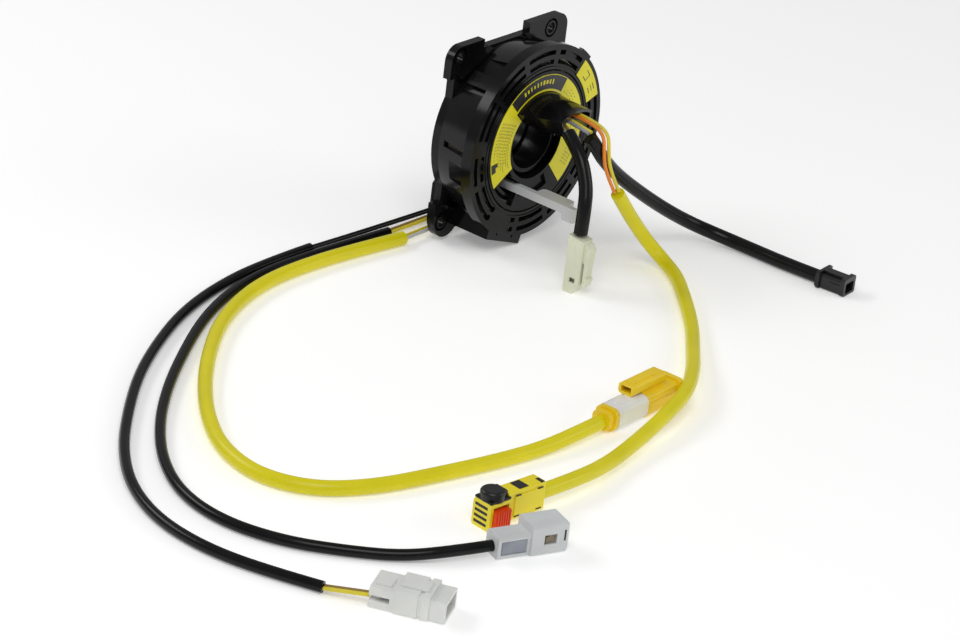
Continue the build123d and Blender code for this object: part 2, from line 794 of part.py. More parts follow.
# Yellow lead of the stator
supply_lead_points = [
    (-53.0, 4.0, lead_z),
    (-83.0, 8.5, lead_z),
    (-113.0, 11.5, lead_z),
    (-143.0, 11.0, lead_z),
    (-171.0, 4.0, lead_z),
    (-197.0, -8.0, lead_z),
    (-222.0, -25.0, lead_z),
    (-247.0, -45.5, lead_z),
    (-270.0, -69.0, lead_z),
    (-288.0, -95.0, lead_z),
    (-294.0, -122.0, lead_z),
    (-284.0, -146.0, lead_z),
    (-261.0, -161.0, lead_z),
    (-232.0, -170.0, lead_z),
    (-203.0, -178.0, lead_z),
    (-176.0, -183.5, lead_z),
    (-154.0, -185.5, lead_z + 1.2),
    (-134.0, -185.0, lead_z + 1.2),
]
build_lead("supply_lead", supply_lead_points, lead_diameter)
supply_wire_points = [
    (outlet_left + wire_entry, yellow_exit_y, exit_z),
    towards(supply_lead_points[0], supply_lead_points[1], -wire_gap),
]
for name, side in (("supply_wire_left", -0.5), ("supply_wire_right", 0.5)):
    build_lead(name, beside(supply_wire_points, (0, 1, 0), side * wire_spacing), wire_diameter)

# Outer black lead of the stator, with bare wires at both of its ends
outer_lead_points = [
    (-98.0, 25.0, thin_lead_z),
    (-134.0, 26.0, thin_lead_z),
    (-171.0, 21.0, thin_lead_z),
    (-204.0, 11.0, thin_lead_z),
    (-235.0, -4.0, thin_lead_z),
    (-264.0, -21.0, thin_lead_z),
    (-292.0, -42.0, thin_lead_z),
    (-320.0, -66.0, thin_lead_z),
    (-342.0, -92.0, thin_lead_z),
    (-355.0, -120.0, thin_lead_z),
    (-358.0, -149.0, thin_lead_z),
    (-353.0, -178.0, thin_lead_z),
    (-343.5, -205.0, thin_lead_z),
]
build_lead("outer_lead", outer_lead_points, thin_lead_diameter)
outer_wire_points = [
    (outlet_left + wire_entry, outer_exit_y, exit_z),
    (-54.0, 21.5, thin_lead_z),
    towards(outer_lead_points[0], outer_lead_points[1], -wire_gap),
]
outer_plug_entry = (-334.4, -223.1, thin_lead_z + 1.6)
outer_tail_points = [
    towards(outer_lead_points[-1], outer_lead_points[-2], -wire_gap),
    towards(outer_plug_entry, outer_lead_points[-1], wire_gap),
]
for wire, tail, side in (
    ("outer_wire_left", "outer_tail_left", -0.5),
    ("outer_wire_right", "outer_tail_right", 0.5),
):
    offset = side * wire_spacing
    build_lead(wire, beside(outer_wire_points, (0, 1, 0), offset), fine_wire_diameter)
    build_lead(tail, beside(outer_tail_points, (0.9, 0.4, 0), offset), wire_diameter)

# Inner black lead of the stator
inner_lead_points = [
    (-52.0, 14.5, thin_lead_z),
    (-80.0, 16.8, thin_lead_z),
    (-109.0, 19.0, thin_lead_z),
    (-140.0, 19.2, thin_lead_z),
    (-170.0, 12.8, thin_lead_z),
    (-200.0, 0.5, thin_lead_z),
    (-232.0, -18.0, thin_lead_z),
    (-263.0, -38.0, thin_lead_z),
    (-291.0, -60.0, thin_lead_z),
    (-315.0, -85.0, thin_lead_z),
    (-331.0, -112.0, thin_lead_z),
    (-335.0, -140.0, thin_lead_z),
    (-328.0, -167.0, thin_lead_z),
    (-314.0, -189.0, thin_lead_z),
    (-298.0, -208.0, thin_lead_z),
    (-280.0, -221.5, thin_lead_z + 2.0),
    (-263.0, -228.5, thin_lead_z + 2.0),
]
build_lead("inner_lead", inner_lead_points, thin_lead_diameter)
inner_wire_points = [
    (outlet_left + wire_entry, inner_exit_y, exit_z),
    towards(inner_lead_points[0], inner_lead_points[1], -wire_gap),
]
for name, side in (("inner_wire_left", -0.5), ("inner_wire_right", 0.5)):
    build_lead(name, beside(inner_wire_points, (0, 1, 0), side * wire_spacing), wire_diameter)

# ---------------------------------------------------------------- plugs

def plug_plane(point, heading):
    """Plane on the floor at the middle of a plug's rear end, with its x axis along the plug."""
    return Plane(
        origin=(point[0], point[1], floor_z),
        x_dir=(cos(radians(heading)), sin(radians(heading)), 0),
        z_dir=(0, 0, 1),
    )


def section_plane(base, distance):
    """Plane across the plug at a distance from its rear end: x is across it, y is up."""
    return Plane(
        origin=base.from_local_coords((distance, 0, 0)),
        x_dir=base.y_dir,
        z_dir=base.x_dir,
    )


# Natural white plug that hangs upright on the short lead, its nose on the floor
hang_width = 9.4
hang_thickness = 8.0
hang_top = short_lead_points[-1][2] - 0.5
hang_height = hang_top - floor_z
hang_nose_width = 5.6
hang_nose_height = 6.0
hang_lever_gap = 1.0
hang_lever_thickness = 2.2
hang_lever_width = 5.0
hang_x = short_lead_points[-1][0]
hang_y = short_lead_points[-1][1]
hang_back = hang_y + 4.2
hang_front = hang_back - hang_width
hang_window_side = 2.6
with BuildPart() as short_plug:
    with BuildSketch(Plane.YZ.offset(hang_x - hang_thickness / 2)):
        with BuildLine():
            Polyline(
                (hang_back, hang_top),
                (hang_front, hang_top - 1.5),
                (hang_front, floor_z + hang_nose_height),
                (hang_back - hang_nose_width, floor_z),
                (hang_back - 0.8, floor_z),
                (hang_back, floor_z + 3),
                close=True,
            )
        make_face()
    extrude(amount=hang_thickness)
    fillet(short_plug.edges().filter_by(Axis.Z), radius=0.9)
    # latch lever, joined to the body at the top
    lever_back = hang_front - hang_lever_gap
    lever_front = lever_back - hang_lever_thickness
    with BuildSketch(Plane.YZ.offset(hang_x - hang_lever_width / 2)):
        with BuildLine():
            Polyline(
                (hang_front + 1, hang_top - 1.7),
                (lever_front + 1.2, hang_top - 2.8),
                (lever_front - 0.4, hang_top - 4.5),
                (lever_front + 0.3, hang_top - 14.0),
                (lever_front + 0.6, floor_z + 10.0),
                (lever_front - 0.6, floor_z + 9.6),
                (lever_front + 0.4, floor_z + 5.4),
                (lever_back, floor_z + 3.6),
                (lever_back, hang_top - 13.0),
                (hang_front + 1, hang_top - 11.0),
                close=True,
            )
        make_face()
    extrude(amount=hang_lever_width)
    # terminal ways from the nose, and the inspection window
    with BuildSketch(Plane.XY.offset(floor_z)):
        for way in (-1, 1):
            with Locations((hang_x + way * hang_thickness / 4.4, hang_back - hang_nose_width / 2)):
                Rectangle(2.2, 2.8)
    extrude(amount=12, mode=Mode.SUBTRACT)
    with BuildSketch(Plane.YZ.offset(hang_x - hang_thickness / 2)):
        with Locations((hang_back - hang_width / 2 - 0.6, floor_z + 7.0)):
            Rectangle(hang_window_side * 1.3, hang_window_side)
    extrude(amount=2.2, mode=Mode.SUBTRACT)
save(short_plug, "short_plug")

# Black plug on the long black lead
switch_plug_length = 17.0
switch_plug_width = 10.0
switch_plug_height = 7.8
switch_collar_length = 1.4
switch_collar_extra = 1.3
switch_socket_depth = 9.0
switch_base = plug_plane(switch_lead_points[-1], heading_of(switch_lead_points))
with BuildPart() as switch_plug:
    with BuildSketch(section_plane(switch_base, 0)):
        with Locations((0, switch_plug_height / 2)):
            RectangleRounded(switch_plug_width, switch_plug_height, 1.2)
    extrude(amount=switch_plug_length)
    with BuildSketch(section_plane(switch_base, switch_collar_length)):
        with Locations((0, (switch_plug_height + switch_collar_extra) / 2)):
            RectangleRounded(switch_plug_width + 2 * switch_collar_extra, switch_plug_height + switch_collar_extra, 1.2)
    extrude(amount=1.6)
    with BuildSketch(section_plane(switch_base, switch_plug_length - 2.4)):
        with Locations((0, (switch_plug_height + switch_collar_extra) / 2)):
            RectangleRounded(switch_plug_width + switch_collar_extra, switch_plug_height + switch_collar_extra, 1.2)
    extrude(amount=2.4)
    # socket in the front end
    with BuildSketch(section_plane(switch_base, switch_plug_length)):
        with Locations((0, switch_plug_height / 2)):
            RectangleRounded(switch_plug_width - 2.4, switch_plug_height - 2.4, 0.8)
    extrude(amount=-switch_socket_depth, mode=Mode.SUBTRACT)
    # latch on the top
    with BuildSketch(section_plane(switch_base, switch_collar_length + 1)):
        with Locations((0, switch_plug_height + 0.4)):
            Rectangle(4.6, 1.8)
    extrude(amount=switch_plug_length - switch_collar_length - 3)
save(switch_plug, "switch_plug")

# White plug of the inner black lead: a narrow rear block and a larger front block
inner_rear_length = 15.5
inner_front_length = 18.5
inner_rear_width = 11.0
inner_rear_height = 10.5
inner_front_width = 13.5
inner_front_height = 14.5
inner_base = plug_plane(inner_lead_points[-1], heading_of(inner_lead_points))
inner_length = inner_rear_length + inner_front_length
with BuildPart() as inner_plug:
    with BuildSketch(section_plane(inner_base, 0)):
        with Locations((0, inner_rear_height / 2)):
            RectangleRounded(inner_rear_width, inner_rear_height, 1.6)
    extrude(amount=inner_rear_length + 1)
    with BuildSketch(section_plane(inner_base, inner_rear_length)):
        with Locations((0, inner_front_height / 2)):
            RectangleRounded(inner_front_width, inner_front_height, 1.6)
    extrude(amount=inner_front_length)
    chamfer(inner_plug.faces().sort_by(Axis.X)[-1].edges(), length=1.4)
    # hollow flank of the rear block
    with BuildSketch(section_plane(inner_base, 1.5)):
        with Locations((-inner_rear_width / 2, inner_rear_height / 2)):
            Rectangle(1.6, inner_rear_height - 4.0)
    extrude(amount=inner_rear_length - 3.0, mode=Mode.SUBTRACT)
    # latch window in the side that shows the terminals
    with BuildSketch(section_plane(inner_base, inner_rear_length + 6.0)):
        with Locations((-inner_front_width / 2, inner_front_height / 2)):
            Rectangle(4.0, 4.6)
    extrude(amount=6.0, mode=Mode.SUBTRACT)
    # terminal slots in the front end
    with BuildSketch(section_plane(inner_base, inner_length)):
        with GridLocations(4.6, 5.4, 2, 2):
            with Locations((0, inner_front_height / 2)):
                Rectangle(2.2, 2.6)
    extrude(amount=-8, mode=Mode.SUBTRACT)
save(inner_plug, "inner_plug")

# White plug of the outer black lead: rear bars, a ribbed body and an open shroud
outer_plug_heading = -66.0
outer_plug_width = 17.0
outer_plug_height = 9.5
outer_rear_length = 11.0
outer_body_length = 15.0
outer_shroud_length = 7.0
outer_shroud_wall = 1.5
outer_slot_height = 2.4
outer_base = plug_plane((-330.3, -221.3), outer_plug_heading)
outer_length = outer_rear_length + outer_body_length + outer_shroud_length
with BuildPart() as outer_plug:
    with BuildSketch(section_plane(outer_base, 0)):
        with Locations((0, outer_plug_height / 2)):
            RectangleRounded(outer_plug_width, outer_plug_height, 1.0)
    extrude(amount=outer_length)
    with BuildSketch(section_plane(outer_base, outer_rear_length)):
        with Locations((0, (outer_plug_height + 1.4) / 2)):
            RectangleRounded(outer_plug_width + 1.6, outer_plug_height + 1.4, 1.0)
    extrude(amount=outer_body_length)
    # slot that parts the two rear bars
    with BuildSketch(section_plane(outer_base, 0)):
        with Locations((0, outer_plug_height / 2)):
            Rectangle(outer_plug_width + 1, outer_slot_height)
    extrude(amount=outer_rear_length - 2, mode=Mode.SUBTRACT)
    # groove round the body
    with BuildSketch(section_plane(outer_base, outer_rear_length + outer_body_length - 5)):
        with Locations((0, (outer_plug_height + 1.4) / 2)):
            Rectangle(outer_plug_width + 4, outer_plug_height + 4)
            RectangleRounded(outer_plug_width + 0.4, outer_plug_height + 0.4, 1.0, mode=Mode.SUBTRACT)
    extrude(amount=1.6, mode=Mode.SUBTRACT)
    # open mouth
    with BuildSketch(section_plane(outer_base, outer_length)):
        with Locations((0, outer_plug_height / 2)):
            RectangleRounded(
                outer_plug_width - 2 * outer_shroud_wall, outer_plug_height - 2 * outer_shroud_wall, 0.6
            )
    extrude(amount=-(outer_shroud_length + 4), mode=Mode.SUBTRACT)
save(outer_plug, "outer_plug")

# Yellow plug of the stator's yellow lead: rear cap, body with a guard over its latch, and open front
supply_plug_width = 12.0
supply_plug_height = 11.0
supply_plug_length = 54.0
supply_rear_length = 6.0
supply_lock_length = 22.0
supply_lock_wall = 1.3
supply_core_width = 9.0
supply_core_height = 8.0
supply_guard_length = 25.0
supply_guard_height = 5.5
supply_guard_width = 8.5
supply_front_flange = 3.0
supply_socket_depth = 12.0
supply_base = plug_plane(supply_lead_points[-1], heading_of(supply_lead_points))
supply_body_start = supply_rear_length + supply_lock_length
with BuildPart() as supply_plug:
    # rear cap with its collar
    with BuildSketch(section_plane(supply_base, 0)):
        with Locations((0, supply_plug_height / 2)):
            RectangleRounded(supply_core_width + 1, supply_core_height + 1, 3.0)
    extrude(amount=supply_rear_length)
    with BuildSketch(section_plane(supply_base, supply_rear_length - 2.4)):
        with Locations((0, supply_plug_height / 2)):
            RectangleRounded(supply_plug_width, supply_plug_height, 3.4)
    extrude(amount=2.4)
    # core inside the lock sleeve
    with BuildSketch(section_plane(supply_base, supply_rear_length - 1)):
        with Locations((0, supply_plug_height / 2)):
            RectangleRounded(supply_core_width, supply_core_height, 2.2)
    extrude(amount=supply_lock_length + 2)
    # front body
    with BuildSketch(section_plane(supply_base, supply_body_start)):
        with Locations((0, supply_plug_height / 2)):
            RectangleRounded(supply_plug_width, supply_plug_height, 2.4)
    extrude(amount=supply_plug_length - supply_body_start)
    with BuildSketch(section_plane(supply_base, supply_plug_length - supply_front_flange)):
        with Locations((0, (supply_plug_height + 1) / 2)):
            RectangleRounded(supply_plug_width + 1.6, supply_plug_height + 1, 2.4)
    extrude(amount=supply_front_flange)
    # guard over the latch, standing on the body
    guard_start = supply_body_start - 8.0
    with BuildSketch(section_plane(supply_base, guard_start)):
        with Locations((2.0, supply_plug_height + supply_guard_height / 2 + 0.3)):
            RectangleRounded(supply_guard_width, supply_guard_height, 1.8)
            Rectangle(supply_guard_width - 3.0, supply_guard_height - 2.6, mode=Mode.SUBTRACT)
    extrude(amount=supply_guard_length)
    with BuildSketch(section_plane(supply_base, supply_body_start)):
        with Locations((2.0, supply_plug_height)):
            Rectangle(supply_guard_width - 1, 1.6)
    extrude(amount=supply_guard_length - 8.0)
    # socket in the front end
    with BuildSketch(section_plane(supply_base, supply_plug_length)):
        with Locations((0, supply_plug_height / 2)):
            RectangleRounded(supply_plug_width - 3.0, supply_plug_height - 3.0, 1.6)
    extrude(amount=-supply_socket_depth, mode=Mode.SUBTRACT)
save(supply_plug, "supply_plug")

supply_lock_fit = 0.1
with BuildPart() as supply_plug_lock:
    with BuildSketch(section_plane(supply_base, supply_rear_length + supply_lock_fit)):
        with Locations((0, supply_plug_height / 2)):
            RectangleRounded(supply_plug_width + 0.6, supply_plug_height - 0.2, 3.2)
            RectangleRounded(
                supply_core_width + 2 * supply_lock_fit, supply_core_height + 2 * supply_lock_fit, 2.2 + supply_lock_fit,
                mode=Mode.SUBTRACT,
            )
    extrude(amount=supply_lock_length - 2 * supply_lock_fit)
save(supply_plug_lock, "supply_plug_lock")

# Squib plug of the rotor's yellow lead: flat body, head with a black cap, and a ribbed slide lock
squib_body_length = 21.0
squib_body_width = 9.0
squib_body_height = 14.0
squib_head_length = 12.5
squib_head_width = 11.0
squib_head_height = 13.0
squib_lift = 1.2
squib_base = plug_plane(airbag_lead_points[-1], heading_of(airbag_lead_points))
squib_length = squib_body_length + squib_head_length
with BuildPart() as squib_plug:
    with BuildSketch(section_plane(squib_base, 0)):
        with Locations((0, squib_lift + squib_body_height / 2)):
            RectangleRounded(squib_body_width, squib_body_height, 1.4)
    extrude(amount=squib_body_length + 1)
    with BuildSketch(section_plane(squib_base, squib_body_length)):
        with Locations((0, squib_head_height / 2)):
            RectangleRounded(squib_head_width, squib_head_height, 1.6)
    extrude(amount=squib_head_length)
    # raised panel on the body's side and the channel for the slide lock
    with BuildSketch(section_plane(squib_base, 2.5)):
        with Locations((squib_body_width / 2, squib_lift + squib_body_height / 2)):
            Rectangle(1.0, squib_body_height - 4)
    extrude(amount=squib_body_length - 5)
    with BuildSketch(section_plane(squib_base, squib_body_length + 1.6)):
        with Locations((squib_head_width / 2 - 1.2, squib_head_height / 2 - 0.9)):
            Rectangle(2.4 + 2, squib_head_height - 1.8)
    extrude(amount=squib_head_length - 3.2, mode=Mode.SUBTRACT)
save(squib_plug, "squib_plug")

squib_cap_radius = 5.6
squib_cap_height = 4.6
squib_cap_distance = 7.0
squib_cap_tab_length = 5.6
squib_cap_tab_width = 7.0
squib_cap_round = 1.6
squib_cap_centre = squib_base.from_local_coords((squib_body_length + squib_cap_distance, 0, squib_head_height))
with BuildPart() as squib_cap:
    with BuildSketch(Plane(origin=squib_cap_centre, x_dir=squib_base.x_dir, z_dir=(0, 0, 1))):
        Circle(squib_cap_radius)
        with Locations((-squib_cap_tab_length / 2, 0)):
            Rectangle(squib_cap_tab_length, squib_cap_tab_width)
    extrude(amount=squib_cap_height)
    fillet(squib_cap.faces().sort_by(Axis.Z)[-1].edges(), radius=squib_cap_round)
save(squib_cap, "squib_cap")

squib_lock_travel = 1.6
squib_lock_fit = 0.15
squib_lock_ribs = 6
squib_rib_pitch = 1.4
squib_lock_height = squib_head_height - 1.8 - squib_lock_travel - 2 * squib_lock_fit
with BuildPart() as squib_lock:
    with BuildSketch(section_plane(squib_base, squib_body_length + 1.6 + squib_lock_fit)):
        with Locations((squib_head_width / 2 - 1.2 + 1.0, squib_lock_height / 2 + 0.3)):
            Rectangle(2.4 + 1.6, squib_lock_height)
    extrude(amount=squib_head_length - 3.2 - 2 * squib_lock_fit)
    # grip ribs
    for rib in range(squib_lock_ribs):
        rib_start = squib_body_length + 1.6 + squib_lock_fit + 0.5 + rib * squib_rib_pitch
        with BuildSketch(section_plane(squib_base, rib_start)):
            with Locations((squib_head_width / 2 + 1.9, squib_lock_height / 2 + 0.3)):
                Rectangle(1.2, squib_lock_height)
        extrude(amount=squib_rib_pitch / 2)
save(squib_lock, "squib_lock")
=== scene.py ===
from math import cos, pi, radians, sin

import bmesh
import bpy
from mathutils import Matrix, Vector


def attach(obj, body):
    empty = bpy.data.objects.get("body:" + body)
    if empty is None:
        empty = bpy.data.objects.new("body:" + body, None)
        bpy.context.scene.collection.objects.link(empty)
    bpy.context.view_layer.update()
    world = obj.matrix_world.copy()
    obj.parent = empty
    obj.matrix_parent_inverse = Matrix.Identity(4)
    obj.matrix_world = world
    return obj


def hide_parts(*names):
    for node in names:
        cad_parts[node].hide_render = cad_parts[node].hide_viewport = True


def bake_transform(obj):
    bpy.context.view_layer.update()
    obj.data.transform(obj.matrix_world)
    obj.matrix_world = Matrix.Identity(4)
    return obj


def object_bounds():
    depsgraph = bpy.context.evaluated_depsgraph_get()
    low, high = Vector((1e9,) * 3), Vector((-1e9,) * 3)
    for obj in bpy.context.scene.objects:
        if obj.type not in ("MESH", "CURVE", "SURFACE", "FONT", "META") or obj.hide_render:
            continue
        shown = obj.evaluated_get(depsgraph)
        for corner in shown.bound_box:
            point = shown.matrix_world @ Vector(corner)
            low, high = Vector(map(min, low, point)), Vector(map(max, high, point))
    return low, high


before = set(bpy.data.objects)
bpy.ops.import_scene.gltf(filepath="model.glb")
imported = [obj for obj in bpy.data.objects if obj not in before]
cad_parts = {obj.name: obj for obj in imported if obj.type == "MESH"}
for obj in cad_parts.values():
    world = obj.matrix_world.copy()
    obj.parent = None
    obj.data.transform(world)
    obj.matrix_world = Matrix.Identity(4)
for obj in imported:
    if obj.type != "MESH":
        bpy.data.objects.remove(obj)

cadBox = [list(corner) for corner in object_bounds()]
scene = bpy.context.scene
mm = 0.001
floorHeight = -54.2634  # millimetres; the leads and plugs that lie down rest at this height

# Camera

viewPlace = {"azimuth": -52.96, "elevation": 25.05, "roll": 7.02, "distance": 2.0, "lens": 151.44,
             "sensor": 36, "reach": 20, "right": 0.00476, "up": 0.09841}


def addCamera(place):
    azimuth, elevation, roll = (radians(place[key]) for key in ("azimuth", "elevation", "roll"))
    back = Vector((sin(azimuth) * cos(elevation), -cos(azimuth) * cos(elevation), sin(elevation)))
    level = Vector((cos(azimuth), sin(azimuth), 0))
    upright = back.cross(level)
    right = level * cos(roll) + upright * sin(roll)
    up = upright * cos(roll) - level * sin(roll)
    data = bpy.data.cameras.new("photoCamera")
    data.lens = place["lens"]
    data.sensor_width = place["sensor"]
    data.clip_end = place["reach"]
    camera = bpy.data.objects.new("photoCamera", data)
    turn = Matrix((right, up, back)).transposed().to_4x4()
    spot = back * place["distance"] - right * place["right"] - up * place["up"]
    camera.matrix_world = Matrix.Translation(spot) @ turn
    scene.collection.objects.link(camera)
    scene.camera = camera


addCamera(viewPlace)
print("camera placed")

# Lamps, floor and sky

lamps = {
    "keyLamp": {"spot": (-0.9, -0.7, 1.3), "aim": (-0.05, -0.08, 0), "width": 0.9, "height": 0.9,
                "power": 9},
    "fillLamp": {"spot": (0.9, -1.3, 0.7), "aim": (-0.05, -0.08, 0), "width": 0.9, "height": 0.7,
                 "power": 4},
    "rimLamp": {"spot": (-0.6, 1.0, 0.9), "aim": (-0.05, -0.03, 0), "width": 1.0, "height": 0.4,
                "power": 6},
}
studioSky = {"glow": 0.35, "seenGlow": 1.0}
studioFloor = {"colour": (0.95, 0.95, 0.95), "glow": 0.24, "rough": 0.9, "reach": 6, "drop": 0.0002}


def addLamp(name, lamp):
    data = bpy.data.lights.new(name, "AREA")
    data.shape = "RECTANGLE"
    data.size = lamp["width"]
    data.size_y = lamp["height"]
    data.energy = lamp["power"]
    light = bpy.data.objects.new(name, data)
    light.location = lamp["spot"]
    light.rotation_euler = (Vector(lamp["aim"]) - Vector(lamp["spot"])).to_track_quat("-Z", "Y").to_euler()
    scene.collection.objects.link(light)


def newMaterial(name):
    material = bpy.data.materials.new(name)
    material.use_nodes = True
    nodes = material.node_tree.nodes
    nodes.clear()
    return material, nodes, material.node_tree.links


def addSky(sky):
    world = bpy.data.worlds.new("studioSky")
    world.use_nodes = True
    nodes, links = world.node_tree.nodes, world.node_tree.links
    nodes.clear()
    output = nodes.new("ShaderNodeOutputWorld")
    soft = nodes.new("ShaderNodeBackground")
    soft.inputs["Color"].default_value = (1, 1, 1, 1)
    soft.inputs["Strength"].default_value = sky["glow"]
    seen = nodes.new("ShaderNodeBackground")
    seen.inputs["Color"].default_value = (1, 1, 1, 1)
    seen.inputs["Strength"].default_value = sky["seenGlow"]
    path = nodes.new("ShaderNodeLightPath")
    mix = nodes.new("ShaderNodeMixShader")
    links.new(path.outputs["Is Camera Ray"], mix.inputs["Fac"])
    links.new(soft.outputs[0], mix.inputs[1])
    links.new(seen.outputs[0], mix.inputs[2])
    links.new(mix.outputs[0], output.inputs["Surface"])
    scene.world = world


def addFloor(floor, height):
    mesh = bpy.data.meshes.new("studioFloor")
    reach = floor["reach"]
    corners = [(-reach, -reach, height), (reach, -reach, height), (reach, reach, height),
               (-reach, reach, height)]
    mesh.from_pydata(corners, [], [(0, 1, 2, 3)])
    plane = bpy.data.objects.new("studioFloor", mesh)
    scene.collection.objects.link(plane)
    material, nodes, links = newMaterial("paleFloor")
    output = nodes.new("ShaderNodeOutputMaterial")
    shader = nodes.new("ShaderNodeBsdfPrincipled")
    shader.inputs["Base Color"].default_value = (*floor["colour"], 1)
    shader.inputs["Roughness"].default_value = floor["rough"]
    shader.inputs["Emission Color"].default_value = (1, 1, 1, 1)
    shader.inputs["Emission Strength"].default_value = floor["glow"]
    links.new(shader.outputs[0], output.inputs["Surface"])
    mesh.materials.append(material)


for lampName, lamp in lamps.items():
    addLamp(lampName, lamp)
addSky(studioSky)
scene.view_settings.view_transform = "Standard"
addFloor(studioFloor, cadBox[0][2] - studioFloor["drop"])
print("lamps, floor and sky placed")

# Finishes: every one is a moulded plastic or a print, except the two of painted shade for openings and a
# hollow; all have fine grain and broad, faint clouds

grainLook = {"fineDetail": 3, "cloudScale": 45, "cloudDetail": 4, "rampLow": 0.3, "rampHigh": 0.7,
             "lift": 0.004, "smoother": 0.06, "rougher": 0.08, "leastRough": 0.05, "reliefDepth": 0.0002,
             "scatter": (0.003, 0.0028, 0.0024)}


def plastic(name, colour, rough=0.4, grain=900, bump=0.06, tone=0.06, translucent=0, shine=0.5):
    material, nodes, links = newMaterial(name)
    output = nodes.new("ShaderNodeOutputMaterial")
    shader = nodes.new("ShaderNodeBsdfPrincipled")
    place = nodes.new("ShaderNodeTexCoord")
    fine = nodes.new("ShaderNodeTexNoise")
    fine.inputs["Scale"].default_value = grain
    fine.inputs["Detail"].default_value = grainLook["fineDetail"]
    cloud = nodes.new("ShaderNodeTexNoise")
    cloud.inputs["Scale"].default_value = grainLook["cloudScale"]
    cloud.inputs["Detail"].default_value = grainLook["cloudDetail"]
    ramp = nodes.new("ShaderNodeValToRGB")
    darkEnd, lightEnd = ramp.color_ramp.elements
    darkEnd.position = grainLook["rampLow"]
    darkEnd.color = (*(max(0, c * (1 - tone)) for c in colour), 1)
    lightEnd.position = grainLook["rampHigh"]
    lightEnd.color = (*(min(1, c * (1 + tone) + grainLook["lift"]) for c in colour), 1)
    gloss = nodes.new("ShaderNodeMapRange")
    gloss.inputs["To Min"].default_value = max(grainLook["leastRough"], rough - grainLook["smoother"])
    gloss.inputs["To Max"].default_value = min(1, rough + grainLook["rougher"])
    relief = nodes.new("ShaderNodeBump")
    relief.inputs["Strength"].default_value = bump
    relief.inputs["Distance"].default_value = grainLook["reliefDepth"]
    for texture in (fine, cloud):
        links.new(place.outputs["Object"], texture.inputs["Vector"])
    links.new(cloud.outputs["Fac"], ramp.inputs["Fac"])
    links.new(ramp.outputs["Color"], shader.inputs["Base Color"])
    links.new(cloud.outputs["Fac"], gloss.inputs["Value"])
    links.new(gloss.outputs["Result"], shader.inputs["Roughness"])
    links.new(fine.outputs["Fac"], relief.inputs["Height"])
    links.new(relief.outputs["Normal"], shader.inputs["Normal"])
    shader.inputs["Specular IOR Level"].default_value = shine
    if translucent:
        shader.inputs["Subsurface Weight"].default_value = translucent
        shader.inputs["Subsurface Radius"].default_value = grainLook["scatter"]
    links.new(shader.outputs[0], output.inputs["Surface"])
    return material


finishes = {
    "drumBlack": {"colour": (0.003, 0.003, 0.0035), "rough": 0.14, "grain": 700, "bump": 0.04, "tone": 0.2,
                  "shine": 0.2},
    "rotorBlack": {"colour": (0.003, 0.003, 0.0035), "rough": 0.2, "grain": 700, "bump": 0.06, "tone": 0.2,
                   "shine": 0.18},
    "labelYellow": {"colour": (0.80, 0.72, 0.008), "rough": 0.42, "grain": 300, "bump": 0.02, "tone": 0.03},
    "labelInk": {"colour": (0.02, 0.02, 0.02), "rough": 0.45, "grain": 300, "bump": 0.02},
    "pinGrey": {"colour": (0.60, 0.61, 0.63), "rough": 0.38, "grain": 500, "bump": 0.04,
                "translucent": 0.12},
    "terminalNatural": {"colour": (0.70, 0.68, 0.62), "rough": 0.45},
    "ribbonFilm": {"colour": (0.70, 0.66, 0.58), "rough": 0.3},
    "sleeveBlack": {"colour": (0.003, 0.003, 0.0035), "rough": 0.2, "grain": 260, "bump": 0.08, "tone": 0.2,
                    "shine": 0.2},
    "sleeveYellow": {"colour": (0.74, 0.66, 0.004), "rough": 0.33, "grain": 260, "bump": 0.10, "tone": 0.05,
                     "shine": 0.35},
    "wireYellow": {"colour": (0.72, 0.60, 0.03), "rough": 0.35, "grain": 600},
    "wireOrange": {"colour": (0.85, 0.25, 0.02), "rough": 0.35, "grain": 600},
    "wireGrey": {"colour": (0.30, 0.31, 0.33), "rough": 0.35, "grain": 600},
    "wireBrown": {"colour": (0.28, 0.18, 0.04), "rough": 0.35, "grain": 600},
    "wireWhite": {"colour": (0.62, 0.62, 0.60), "rough": 0.35, "grain": 600},
    "wireBlack": {"colour": (0.006, 0.006, 0.006), "rough": 0.3, "grain": 600, "shine": 0.35},
    "plugWhite": {"colour": (0.74, 0.75, 0.72), "rough": 0.36, "grain": 400, "bump": 0.03,
                  "translucent": 0.2},
    "plugMilk": {"colour": (0.60, 0.62, 0.62), "rough": 0.34, "grain": 400, "bump": 0.03,
                 "translucent": 0.35},
    "plugCream": {"colour": (0.70, 0.72, 0.56), "rough": 0.34, "grain": 400, "bump": 0.03,
                  "translucent": 0.35},
    "mouthCream": {"colour": (0.62, 0.60, 0.40), "rough": 0.5, "grain": 400, "bump": 0.03},
    # painted shade: a dark grey-blue finish on a block filling the inner plug's hollow flank, where shade
    # falls in the milky plastic
    "milkShade": {"colour": (0.30, 0.32, 0.37), "rough": 0.3, "grain": 120, "bump": 0.02, "tone": 0.25},
    "terminalBrass": {"colour": (0.24, 0.19, 0.12), "rough": 0.35, "grain": 900, "bump": 0.2, "tone": 0.5},
    "plugBlack": {"colour": (0.007, 0.007, 0.008), "rough": 0.3, "shine": 0.4},
    "plugYellow": {"colour": (0.88, 0.62, 0.006), "rough": 0.32, "grain": 400, "bump": 0.03},
    "squibYellow": {"colour": (0.86, 0.72, 0.01), "rough": 0.36, "grain": 400, "bump": 0.03},
    "lockWhite": {"colour": (0.82, 0.82, 0.80), "rough": 0.28, "grain": 400, "bump": 0.02,
                  "translucent": 0.25},
    "lockRed": {"colour": (0.86, 0.07, 0.012), "rough": 0.30, "grain": 400, "bump": 0.03},
    # painted shade: a near-black finish on thin blocks set in the plugs' slots, vents and open ends, where
    # the shade inside them falls
    "ventDark": {"colour": (0.015, 0.015, 0.015), "rough": 0.6},
}
finish = {name: plastic(name, **values) for name, values in finishes.items()}
